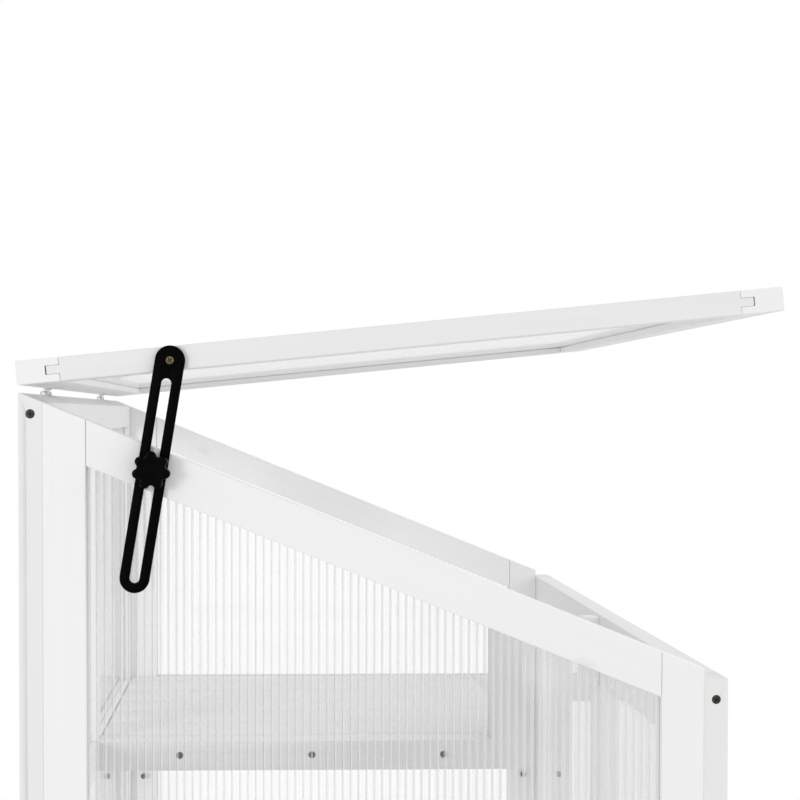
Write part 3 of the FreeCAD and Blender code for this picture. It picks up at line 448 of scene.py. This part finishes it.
def twin_wall(name, turn, strength, side, mirror_share=1.0):
    """Materials of one sheet: skin, edges of its grey and white flanks, which are painted shade and
    painted light, and the flanks' sides.
    """
    return [
        twin_wall_skin(f"{name}_skin", turn, mirror_share),
        twin_wall_rib(f"{name}_rib_painted_shade", turn, RIB_PAINTED_SHADE_GREY, RIB_PAINTED_SHADE_GREY_ALPHA * strength),
        twin_wall_rib(f"{name}_rib_painted_light", turn, RIB_PAINTED_LIGHT_WHITE, RIB_PAINTED_LIGHT_WHITE_ALPHA * strength),
        twin_wall_rib(f"{name}_rib_side", turn, *side),
    ]


# Sides are a colour and an opacity, painted light; the rear and door sheets' darker sides are painted
# shade. The left side wall is seen first, the right one through it.
SHEET_UPRIGHT = twin_wall("sheet_upright", ALONG_Z, strength=1.0, side=(RIB_PAINTED_LIGHT_WHITE, 0.5))
SHEET_ACROSS = twin_wall("sheet_across", ALONG_Z, strength=0.6, side=(RIB_SHADED_SIDE_WHITE, 0.22))
SHEET_CLEARER = twin_wall("sheet_clearer", ALONG_Z, strength=0.12, side=(RIB_PAINTED_LIGHT_WHITE, 0.1))
SHEET_LID = twin_wall(
    "sheet_lid", ALONG_LID, strength=0.6, side=(RIB_PAINTED_LIGHT_WHITE, 0.1), mirror_share=0.35
)
BLACK_STEEL = black_coat("black_powder_coat", 0.5, 2600, relief=0.12, gloss=0.025)
BLACK_PLASTIC = black_coat("black_moulding", 0.28, 1500, relief=0.08, gloss=0.03)
ZINC = metal("zinc_plate", (0.72, 0.72, 0.71, 1), (0.56, 0.56, 0.55, 1), 0.34)
BRASS = metal("dull_brass", (0.2, 0.16, 0.1, 1), (0.07, 0.06, 0.04, 1), 0.5)
DARK_STEEL = metal("dark_screw", (0.10, 0.085, 0.07, 1), (0.03, 0.026, 0.022, 1), 0.5)


# --- meshes --------------------------------------------------------------------------

def finish_node(node, material):
    """Give a carried-over CAD node its material."""
    for slot in NODES[node].material_slots:
        slot.material = material


def body_of(node):
    """Name of the body that a CAD node rides on."""
    return NODES[node]["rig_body"]


# Degrees above which an edge stays sharp: in general, on rounded pieces, and on long timber,
# whose flat faces would otherwise shade as if they were curved.
SHARP_ANGLE = 35
SHARP_ON_ROUNDED = 50
SHARP_ON_TIMBER = 20
# Edges that turn more than this many degrees are rounded over.
ROUNDED_FROM = 50
WELD = 0.002 * MM
FLAT_WITHIN = math.radians(1)


def add_piece(name, shape, materials, slot, body, *nodes, smooth=SHARP_ANGLE):
    """Turn a bmesh into a piece that rides on a body and stands for CAD nodes."""
    bmesh.ops.recalc_face_normals(shape, faces=shape.faces)
    mesh = bpy.data.meshes.new(name)
    shape.to_mesh(mesh)
    shape.free()
    for material in materials:
        mesh.materials.append(material)
    mesh.shade_smooth()
    mesh.set_sharp_from_angle(angle=math.radians(smooth))
    piece = bpy.data.objects.new(name, mesh)
    bpy.context.scene.collection.objects.link(piece)
    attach(piece, body)
    if nodes:
        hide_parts(*nodes)
    return piece


def welded(node):
    """A CAD node's mesh as a bmesh with its faces joined up again."""
    shape = bmesh.new()
    shape.from_mesh(NODES[node].data)
    bmesh.ops.remove_doubles(shape, verts=shape.verts, dist=WELD)
    return shape


def softened(node, width, material, slot, segments=2, shortest=0.0):
    """Copy of a CAD node with its sharp edges rounded over.

    With a shortest length, only outer edges that are longer than it are rounded.
    """
    shape = welded(node)
    bmesh.ops.dissolve_limit(
        shape, angle_limit=FLAT_WITHIN, verts=shape.verts, edges=shape.edges
    )
    sharp = [
        edge for edge in shape.edges
        if len(edge.link_faces) == 2 and edge.calc_face_angle() > math.radians(ROUNDED_FROM)
        and (not shortest or (edge.is_convex and edge.calc_length() > shortest))
    ]
    bmesh.ops.bevel(
        shape, geom=sharp, offset=width, segments=segments, profile=0.5,
        affect="EDGES", clamp_overlap=not shortest,
    )
    smooth = SHARP_ON_TIMBER if shortest else SHARP_ON_ROUNDED
    return add_piece(f"{node}_soft", shape, [material], slot, body_of(node), node, smooth=smooth)


def islands(node):
    """The points of each separate solid in a CAD node."""
    shape = welded(node)
    left, found = set(shape.verts), []
    while left:
        front, group = [left.pop()], []
        while front:
            vertex = front.pop()
            group.append(vertex.co.copy())
            for edge in vertex.link_edges:
                other = edge.other_vert(vertex)
                if other in left:
                    left.remove(other)
                    front.append(other)
        found.append(group)
    shape.free()
    found.sort(key=lambda points: tuple(round(c, 5) for c in min(tuple(p) for p in points)))
    return found


def corners_of(points):
    """Lowest and highest corner of the box round some points."""
    low = Vector(min(p[i] for p in points) for i in range(3))
    high = Vector(max(p[i] for p in points) for i in range(3))
    return low, high


def loft(shape, rings, place):
    """Closed skin through rings of equally many points, capped at both ends."""
    rows = [[shape.verts.new(place @ Vector(point)) for point in ring] for ring in rings]
    count = len(rows[0])
    for low, high in zip(rows, rows[1:]):
        for i in range(count):
            j = (i + 1) % count
            shape.faces.new((low[i], low[j], high[j], high[i]))
    shape.faces.new(list(reversed(rows[0])))
    shape.faces.new(rows[-1])


def ring(radius, height, count):
    """Ring about the Z axis; the radius may depend on the angle."""
    points = []
    for i in range(count):
        angle = WHOLE_TURN * i / count
        reach = radius(angle) if callable(radius) else radius
        points.append((reach * math.cos(angle), reach * math.sin(angle), height))
    return points


def lathe(shape, profile, place, count):
    """Solid turned about its own Z axis from (radius, height) pairs in millimetres."""
    loft(shape, [ring(r * MM, h * MM, count) for r, h in profile], place)


TINY = 1e-6
# Cross recess: arm and half width as a share of the head's radius, depths in millimetres.
RECESS_ARM, RECESS_HALF_WIDTH = 0.62, 0.16
RECESS_WALL_DEPTH, RECESS_DEPTH = 0.5, 1.3
SCREW_SIDES = 48


def cross_outline(arm, half_width):
    """Radius of a cross with four arms as a function of the angle."""
    def radius(angle):
        c, s = max(abs(math.cos(angle)), TINY), max(abs(math.sin(angle)), TINY)
        return max(min(arm / c, half_width / s), min(half_width / c, arm / s))
    return radius


def screw_top(radius, dome):
    """Rings of a screw head's face with a cross recess, in millimetres from its top."""
    arm, half = radius * RECESS_ARM, radius * RECESS_HALF_WIDTH
    return [
        (radius, -dome - 0.15), (radius * 0.97, -dome), (radius * 0.8, -dome * 0.3),
        (radius * 0.68, 0), (cross_outline(arm, half), 0),
        (cross_outline(arm * 0.8, half * 0.8), -RECESS_WALL_DEPTH),
        (cross_outline(arm * 0.45, half * 0.6), -RECESS_DEPTH),
    ]


def add_screw(shape, place, below, radius, dome):
    """Screw with its face at the place's origin; below lists (radius, height) up to the head."""
    rings = [ring(r * MM, h * MM, SCREW_SIDES) for r, h in below]
    for r, h in screw_top(radius, dome):
        reach = (lambda angle, r=r: r(angle) * MM) if callable(r) else r * MM
        rings.append(ring(reach, h * MM, SCREW_SIDES))
    loft(shape, rings, place)


def pointing(origin, direction, spin=0.0):
    """Matrix that carries local +Z to a direction at an origin."""
    turn = Vector(direction).to_track_quat("Z", "Y").to_matrix().to_4x4()
    return Matrix.Translation(Vector(origin)) @ turn @ Matrix.Rotation(spin, 4, "Z")


# --- timber --------------------------------------------------------------------------

POSTS = ["rear_left_post", "rear_right_post", "front_left_post", "front_right_post"]
UPRIGHT = [
    "rear_centre_stile", "left_rear_stile", "left_front_stile",
    "right_rear_stile", "right_front_stile", "left_door_stiles", "right_door_stiles",
]
ACROSS = [
    "rear_top_rail", "rear_middle_rail", "rear_bottom_rail", "front_top_rail",
    "front_bottom_rail", "left_door_rails", "right_door_rails",
    "lid_rear_rail", "lid_front_rail",
]
FRONT_TO_BACK = [
    "left_middle_rail", "left_bottom_rail", "right_middle_rail", "right_bottom_rail",
]


# A face whose normal rises more than this is a top face; on the shelf bearer it gets the lighter
# paint, painted light.
TOP_FACE = 0.8
# Width of the rounded edges, and the shortest timber edge that is rounded.
TIMBER_ROUNDING = 0.45 * MM
SHORTEST_EDGE = 20 * MM
INNER_ROUNDING = 0.7 * MM
SLAT_ROUNDING = 1.0 * MM
BUTTON_ROUNDING = 1.2 * MM


def finish_timber():
    """Paint the timber nodes and ease their edges."""
    for nodes, material in (
        (POSTS, POST_TIMBER), (UPRIGHT, TIMBER["z"]),
        (ACROSS, TIMBER["x"]), (FRONT_TO_BACK, TIMBER["y"]),
        (["left_top_rail", "right_top_rail"], TIMBER["roof"]),
        (["lid_left_rail", "lid_right_rail"], TIMBER["lid"]),
    ):
        for node in nodes:
            softened(node, TIMBER_ROUNDING, material, "painted_timber", shortest=SHORTEST_EDGE)
    # The shelf hanger and centre tie get the darker inner paint, which is painted shade.
    for node, material in (
        ("door_stop", TIMBER["z"]), ("shelf_hanger", SHADED_INNER_TIMBER["z"]),
        ("centre_tie", SHADED_INNER_TIMBER["roof"]),
    ):
        softened(node, INNER_ROUNDING, material, "painted_timber")
    # Painted light and shade on the bearer: its top faces take the lighter slat paint as if lit from
    # above, its sides the darker inner paint as painted shade.
    bearer = softened("shelf_bearer", INNER_ROUNDING, SHADED_INNER_TIMBER["y"], "painted_timber")
    bearer.data.materials.append(SLAT["y"])
    for face in bearer.data.polygons:
        face.material_index = 1 if face.normal.z > TOP_FACE else 0
    for node, material in (
        ("top_shelf_boards", SLAT["y"]), ("bottom_shelf_boards", SLAT["y"]),
        ("top_shelf_battens", SLAT["x"]), ("bottom_shelf_battens", SLAT["x"]),
    ):
        softened(node, SLAT_ROUNDING, material, "shelf_timber")
    softened("turn_button", BUTTON_ROUNDING, TIMBER["z"], "painted_timber", segments=3)


# Door knob from its foot outwards: radius and height, millimetres.
KNOB_PROFILE = [
    (7.4, 0), (7.4, 0.8), (6.9, 1.6), (6.0, 3.0), (5.55, 5.0), (5.6, 7.0), (6.4, 9.0),
    (8.2, 10.8), (10.0, 12.2), (10.8, 13.6), (10.95, 15.0), (10.5, 16.8), (9.2, 18.6),
    (7.0, 20.0), (4.2, 20.8), (1.6, 21.0),
]
KNOB_SIDES = 40


def add_door_knobs():
    """Turned knobs, a waisted neck under a rounded head."""
    for side in ("left", "right"):
        node = f"{side}_door_knob"
        low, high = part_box(node)
        foot = Vector(((low.x + high.x) / 2, high.y, (low.z + high.z) / 2))
        shape = bmesh.new()
        lathe(shape, KNOB_PROFILE, pointing(foot, (0, -1, 0)), KNOB_SIDES)
        add_piece(f"{node}_turned", shape, [TIMBER["z"]], "painted_timber", body_of(node), node)


# --- twin-wall sheets ----------------------------------------------------------------

RIB_PITCH = 5.6 * MM
SKIN = 0.4 * MM
RIB_PAINTED_SHADE_GREY_WIDTH = 0.9 * MM
RIB_PAINTED_LIGHT_WHITE_WIDTH = 0.8 * MM
# Room between a rib's two flanks, and between ribs and skins.
RIB_CLEAR = 0.02 * MM
# Corners this close to the pane's side edge belong to it.
EDGE_REACH = 0.1 * MM
# Places of a sheet's materials in its list.
SKIN_INDEX, PAINTED_SHADE_INDEX, PAINTED_LIGHT_INDEX, SIDE_INDEX = range(4)


def pane_edges(points, across, along):
    """For the pane's two side edges: place across, lowest and highest place along."""
    flat = [(p.dot(across), p.dot(along)) for p in points]
    edges = []
    for end in (min(a for a, _ in flat), max(a for a, _ in flat)):
        heights = [height for a, height in flat if abs(a - end) < EDGE_REACH]
        edges.append((end, min(heights), max(heights)))
    return edges


def prism(shape, section, low, high, edge_index, side_index):
    """Closed stick of a four-cornered section, its two pairs of sides with a material each."""
    start = [shape.verts.new(low(a, d)) for a, d in section]
    end = [shape.verts.new(high(a, d)) for a, d in section]
    count = len(section)
    shape.faces.new(list(reversed(start))).material_index = edge_index
    shape.faces.new(end).material_index = edge_index
    for i in range(count):
        j = (i + 1) % count
        face = shape.faces.new((start[i], start[j], end[j], end[i]))
        face.material_index = side_index if i % 2 else edge_index


def add_pane(shape, points, across, along, normal):
    """Two skins joined by ribs, cut to the outline of a CAD sheet."""
    (a0, low0, high0), (a1, low1, high1) = pane_edges(points, across, along)
    depths = [p.dot(normal) for p in points]
    d0, d1 = min(depths), max(depths)

    def end(start, finish):
        def point(a, d):
            share = (a - a0) / (a1 - a0)
            return across * a + normal * d + along * (start + (finish - start) * share)
        return point

    low, high = end(low0, low1), end(high0, high1)
    for near, far in ((d0, d0 + SKIN), (d1 - SKIN, d1)):
        section = [(a0, near), (a1, near), (a1, far), (a0, far)]
        prism(shape, section, low, high, SKIN_INDEX, SKIN_INDEX)
    inner0, inner1 = d0 + SKIN + RIB_CLEAR, d1 - SKIN - RIB_CLEAR
    count = int((a1 - a0) / RIB_PITCH)
    first = (a0 + a1) / 2 - (count - 1) * RIB_PITCH / 2
    for i in range(count):
        a = first + i * RIB_PITCH
        # Each rib: a grey flank of painted shade and a white flank of painted light beside it.
        for start, finish, index in (
            (a, a + RIB_PAINTED_SHADE_GREY_WIDTH, PAINTED_SHADE_INDEX),
            (a - RIB_CLEAR - RIB_PAINTED_LIGHT_WHITE_WIDTH, a - RIB_CLEAR, PAINTED_LIGHT_INDEX),
        ):
            section = [(start, inner0), (finish, inner0), (finish, inner1), (start, inner1)]
            prism(shape, section, low, high, index, SIDE_INDEX)


def add_sheets():
    """Replace each CAD sheet by skins and ribs.

    Scattered light passes through every sheet, and the rear and door sheets cast no shadow.
    """
    x, y, z = AXES
    slope = Vector((0, -math.cos(LID_SLOPE), math.sin(LID_SLOPE)))
    square = Vector((0, math.sin(LID_SLOPE), math.cos(LID_SLOPE)))
    jobs = [("lid_sheet", x, slope, square, SHEET_LID)]
    for node in ("rear_upper_sheets", "rear_lower_sheet", "left_door_sheet", "right_door_sheet"):
        jobs.append((node, x, z, y, SHEET_ACROSS))
    for side, materials in (("left", SHEET_UPRIGHT), ("right", SHEET_CLEARER)):
        for level in ("upper", "lower"):
            jobs.append((f"{side}_{level}_sheet", y, z, x, materials))
    for node, across, along, normal, materials in jobs:
        shape = bmesh.new()
        for points in islands(node):
            add_pane(shape, points, across, along, normal)
        pane = add_piece(
            f"{node}_twin_wall", shape, materials, "twin_wall_sheet", body_of(node), node
        )
        pane.visible_shadow = materials is not SHEET_ACROSS
        pane.visible_diffuse = False


# --- stay and its knob ---------------------------------------------------------------

# Star knob in millimetres: lobes set on a circle round a plain body.
LOBES = 7
LOBE_RADIUS = 3.4
LOBE_CENTRE = 10.1
BODY_RADIUS = 10.4
# Makes the fillets between lobes: more is tighter.
LOBE_BLEND = 2
STAR_SIDES = LOBES * 18
STAY_ROUNDING = 0.35 * MM
WASHER_PROFILE = [
    (2.55, -2.4), (5.0, -2.4), (5.2, -2.2), (5.2, -1.6), (4.9, -1.3), (3.2, -1.25), (2.55, -1.25),
]
WASHER_SIDES = 40
PIVOT_HEAD_RADIUS, PIVOT_HEAD_DOME = 2.85, 0.5


def lobed(scale, share=1.0):
    """Outline of the star knob in metres; share fades its lobes into a circle."""
    def radius(angle):
        off = (angle + math.pi / LOBES) % (WHOLE_TURN / LOBES) - math.pi / LOBES
        inside = LOBE_RADIUS ** 2 - (LOBE_CENTRE * math.sin(off)) ** 2
        reach = LOBE_CENTRE * math.cos(off) + math.sqrt(inside) if inside > 0 else 0.0
        both = math.exp(LOBE_BLEND * reach) + math.exp(LOBE_BLEND * BODY_RADIUS)
        rounded = math.log(both) / LOBE_BLEND
        return (BODY_RADIUS + (rounded - BODY_RADIUS) * share) * scale * MM
    return radius


STAR_RINGS = [
    # hub that bears on the stay: radius and height, millimetres
    (6.6, 0.0, None), (7.0, 0.3, None), (7.0, 2.6, None), (7.2, 3.05, None),
    # lobed body: scale, height, share of the lobes
    (0.9, 3.1, 1.0), (0.955, 3.4, 1.0), (0.985, 3.9, 1.0), (1.0, 4.8, 1.0), (1.0, 9.4, 1.0),
    (0.985, 10.5, 1.0), (0.95, 11.2, 1.0), (0.9, 11.6, 1.0), (0.82, 11.8, 0.8),
    # shallow dish and the raised cap in the middle
    (7.0, 11.72, None), (6.2, 11.5, None), (5.6, 11.5, None), (5.3, 11.85, None),
    (4.6, 12.0, None), (1.5, 12.0, None),
]


def add_star_knob():
    """Star knob moulded round the axis of its stud, from the face that bears on the stay."""
    stud_low, stud_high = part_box("clamp_stud")
    centre = (stud_low + stud_high) / 2
    centre.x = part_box("star_knob")[1].x
    rings = []
    for size, height, share in STAR_RINGS:
        reach = size * MM if share is None else lobed(size, share)
        rings.append(ring(reach, height * MM, STAR_SIDES))
    # Local X turns to global +Z, where the CAD knob has its first lobe.
    axes = Matrix(((0, 0, -1), (0, 1, 0), (1, 0, 0))).to_4x4()
    shape = bmesh.new()
    loft(shape, rings, Matrix.Translation(centre) @ axes)
    add_piece("star_knob_moulded", shape, [BLACK_PLASTIC], "black_plastic", "knob", "star_knob")


def washer(shape, profile, place, count):
    """Closed ring turned from a looped profile in millimetres."""
    rows = []
    for r, h in profile:
        points = ring(r * MM, h * MM, count)
        rows.append([shape.verts.new(place @ Vector(point)) for point in points])
    for i, row in enumerate(rows):
        following = rows[(i + 1) % len(rows)]
        for j in range(count):
            k = (j + 1) % count
            shape.faces.new((row[j], row[k], following[k], following[j]))


def add_stay():
    """Stay, the stud in its slot, and its pivot: a screw and a washer on the lid."""
    softened("stay_bar", STAY_ROUNDING, BLACK_STEEL, "black_steel")
    finish_node("clamp_stud", ZINC)
    low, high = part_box("stay_pivot_screw")
    head = (low.x, (low.y + high.y) / 2, (low.z + high.z) / 2)
    length = (high.x - low.x) / MM
    shank = [
        (2.3, -length), (2.5, -length + 0.6), (2.5, -1.2), (2.7, -1.15), (PIVOT_HEAD_RADIUS, -0.9),
    ]
    shape = bmesh.new()
    place = pointing(head, (-1, 0, 0), spin=0.5)
    add_screw(shape, place, shank, PIVOT_HEAD_RADIUS, PIVOT_HEAD_DOME)
    add_piece("stay_pivot_screw_head", shape, [BRASS], "brass_screw", "lid", "stay_pivot_screw")
    shape = bmesh.new()
    washer(shape, WASHER_PROFILE, pointing(head, (-1, 0, 0)), WASHER_SIDES)
    add_piece("stay_pivot_washer", shape, [BLACK_STEEL], "black_steel", "lid")


# --- screws and hinges ---------------------------------------------------------------

# Wood screw in millimetres.
THREAD_RADIUS, CORE_RADIUS = 1.95, 1.6
THREAD_PITCH, THREAD_DROP = 1.1, 0.5
THREAD_FIRST, THREAD_LAST = 2.4, -3.2
WOOD_HEAD_RADIUS, WOOD_HEAD_DOME = 3.1, 0.25
# Each screw stopped at another turn of its recess, in radians.
FIRST_SPIN, NEXT_SPIN = 0.4, 0.7


def screw_shank(length):
    """Threaded shank below a countersunk head, as (radius, height) in millimetres."""
    profile = [(0.5, -length), (1.5, -length + 2.2)]
    height = -length + THREAD_FIRST
    while height < THREAD_LAST:
        profile += [(THREAD_RADIUS, height), (CORE_RADIUS, height + THREAD_DROP)]
        height += THREAD_PITCH
    return profile + [(1.9, -2.6), (THREAD_RADIUS, -2.2)]


def add_wood_screws():
    """One threaded screw for each CAD screw, which faces the way that its wide end does."""
    shape = bmesh.new()
    for number, points in enumerate(islands("wood_screws")):
        low, high = corners_of(points)
        y, z = (low.y + high.y) / 2, (low.z + high.z) / 2
        wide = max(points, key=lambda p: abs(p.y - y))
        outward = -1 if abs(wide.x - low.x) < abs(wide.x - high.x) else 1
        face = low.x if outward < 0 else high.x
        place = pointing((face, y, z), (outward, 0, 0), FIRST_SPIN + number * NEXT_SPIN)
        shank = screw_shank((high.x - low.x) / MM)
        add_screw(shape, place, shank, WOOD_HEAD_RADIUS, WOOD_HEAD_DOME)
    add_piece("wood_screws_cross_head", shape, [DARK_STEEL], "dark_screw", "frame", "wood_screws")


BUTTON_HEAD_RADIUS, BUTTON_HEAD_DOME = 4.15, 1.2


def add_button_screw():
    """Domed screw that the turn button swings on."""
    low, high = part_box("turn_button_screw")
    x, z = (low.x + high.x) / 2, (low.z + high.z) / 2
    length = (high.y - low.y) / MM
    below = [
        (0.6, -length), (1.9, -length + 2), (1.95, -2.1), (3.9, -2.0), (BUTTON_HEAD_RADIUS, -1.7),
    ]
    shape = bmesh.new()
    place = pointing((x, low.y, z), (0, -1, 0), spin=0.3)
    add_screw(shape, place, below, BUTTON_HEAD_RADIUS, BUTTON_HEAD_DOME)
    add_piece(
        "turn_button_screw_head", shape, [DARK_STEEL], "dark_screw", "right_door", "turn_button_screw"
    )


# Heads of the screws in the hinge leaves, millimetres.
LEAF_HEAD_RADIUS, LEAF_HEAD_DOME = 2.35, 0.3
LEAF_HEAD_BELOW = [(2.2, -0.9), (LEAF_HEAD_RADIUS, -0.6)]
# Places of the two screws from the leaf's middle and from its outer edge.
LEAF_SCREW_SHIFT = 11 * MM
LEAF_SCREW_EDGE = 6.5 * MM
LEAF_HEAD_RISE = 0.35 * MM
# Points this close to the leaf's outer edge are on its flat part, away from the knuckle.
LEAF_FLAT = 4 * MM
LEAF_ROUNDING = 0.18 * MM
LEAF_SPIN = 0.3
# Radians of turn for each metre, so that the two screws of a leaf differ.
LEAF_SPIN_BY_SHIFT = 40


def add_hinge_screws(node, outward, along, reach):
    """Two screw heads on each leaf of a node.

    reach points from the pin to the leaf's outer edge, or is a function that gives it.
    """
    shape = bmesh.new()
    for points in islands(node):
        low, high = corners_of(points)
        middle = (low + high) / 2
        away = reach if isinstance(reach, Vector) else reach(middle)
        edge = max(p.dot(away) for p in points)
        face = max(p.dot(outward) for p in points if p.dot(away) > edge - LEAF_FLAT)
        for shift in (-LEAF_SCREW_SHIFT, LEAF_SCREW_SHIFT):
            spot = middle + along * shift
            spot += away * (edge - LEAF_SCREW_EDGE - spot.dot(away))
            spot += outward * (face - spot.dot(outward) + LEAF_HEAD_RISE)
            place = pointing(spot, outward, LEAF_SPIN + shift * LEAF_SPIN_BY_SHIFT)
            add_screw(shape, place, LEAF_HEAD_BELOW, LEAF_HEAD_RADIUS, LEAF_HEAD_DOME)
    add_piece(f"{node}_screws", shape, [ZINC], "zinc_steel", body_of(node))


def add_hinges():
    """Zinc on all leaves and pins, and screws in the leaves that show from outside."""
    for node in (
        "lid_hinge_frame_leaves", "lid_hinge_lid_leaves", "left_door_hinge_leaves",
        "right_door_hinge_leaves", "door_hinge_post_leaves",
    ):
        softened(node, LEAF_ROUNDING, ZINC, "zinc_steel")
    finish_node("hinge_pins", ZINC)
    x, y, z = AXES
    add_hinge_screws("lid_hinge_frame_leaves", y, x, -z)
    add_hinge_screws("left_door_hinge_leaves", -y, z, x)
    add_hinge_screws("right_door_hinge_leaves", -y, z, -x)
    add_hinge_screws("door_hinge_post_leaves", -y, z, lambda middle: x if middle.x > 0 else -x)


def add_floor():
    """Round pale floor that the object stands on."""
    bpy.ops.mesh.primitive_circle_add(
        vertices=FLOOR_SIDES, radius=FLOOR_RADIUS, fill_type="NGON"
    )
    floor = bpy.context.object
    floor.name = "studio_floor"
    floor.data.materials.append(floor_material())


add_camera()
add_lights()
add_floor()
finish_timber()
add_door_knobs()
add_sheets()
add_stay()
add_star_knob()
add_wood_screws()
add_button_screw()
add_hinges()

bpy.context.view_layer.update()
